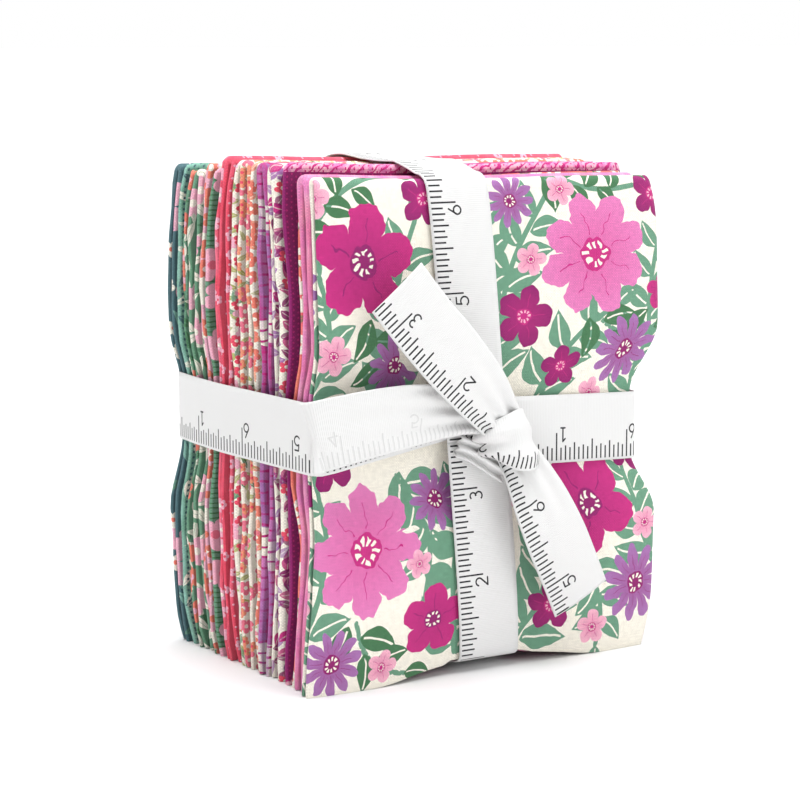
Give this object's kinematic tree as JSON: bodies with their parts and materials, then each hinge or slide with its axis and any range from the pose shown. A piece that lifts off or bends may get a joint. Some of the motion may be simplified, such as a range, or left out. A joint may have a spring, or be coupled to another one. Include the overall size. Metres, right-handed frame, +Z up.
{
  "type": "fat quarter bundle",
  "caption": "Bundle of folded printed cotton quarters standing on edge, tied crosswise with a printed ribbon that ends in a flat loop and free tails at the front.",
  "frame": {"origin": "middle of the stack's footprint, on the surface that it stands on, under the ribbon's run across the bottom", "axes": "+X to the right along the front cloth, -Y out of the front face where the bow is, +Z up from the feet to the top folds"},
  "size_m": [0.1219, 0.0926, 0.148],
  "materials": {
    "cream_floral_cotton": "printed plain-weave cotton, matt",
    "pink_marl_cotton": "printed plain-weave cotton, matt",
    "coral_leaf_cotton": "printed plain-weave cotton, matt",
    "plum_dot_cotton": "printed plain-weave cotton, matt",
    "berry_leaf_cotton": "printed plain-weave cotton, matt",
    "lilac_stripe_cotton": "printed plain-weave cotton, matt",
    "orange_sprig_cotton": "printed plain-weave cotton, matt",
    "poppy_ditsy_cotton": "printed plain-weave cotton, matt",
    "olive_bud_cotton": "printed plain-weave cotton, matt",
    "red_spot_cotton": "printed plain-weave cotton, matt",
    "rose_spot_cotton": "printed plain-weave cotton, matt",
    "green_rib_cotton": "printed plain-weave cotton, matt",
    "coral_bloom_cotton": "printed plain-weave cotton, matt",
    "leaf_spray_cotton": "printed plain-weave cotton, matt",
    "mint_leaf_cotton": "printed plain-weave cotton, matt",
    "mint_dot_cotton": "printed plain-weave cotton, matt",
    "teal_floral_cotton": "printed plain-weave cotton, matt",
    "printed_ribbon": "woven ribbon, soft sheen"
  },
  "bodies": {
    "root": {"quarter_01_cream_floral": "cream_floral_cotton", "quarter_02_pink_marl": "pink_marl_cotton", "quarter_03_coral_leaf": "coral_leaf_cotton", "quarter_04_plum_dot": "plum_dot_cotton", "quarter_05_berry_leaf": "berry_leaf_cotton", "quarter_06_lilac_stripe": "lilac_stripe_cotton", "quarter_07_orange_sprig": "orange_sprig_cotton", "quarter_08_poppy_ditsy": "poppy_ditsy_cotton", "quarter_09_olive_bud": "olive_bud_cotton", "quarter_10_red_spot": "red_spot_cotton", "quarter_11_rose_spot": "rose_spot_cotton", "quarter_12_green_rib": "green_rib_cotton", "quarter_13_coral_bloom": "coral_bloom_cotton", "quarter_14_leaf_spray": "leaf_spray_cotton", "quarter_15_mint_leaf": "mint_leaf_cotton", "quarter_16_mint_dot": "mint_dot_cotton", "quarter_17_teal_floral": "teal_floral_cotton", "ribbon": "printed_ribbon"}
  },
  "joints": []
}
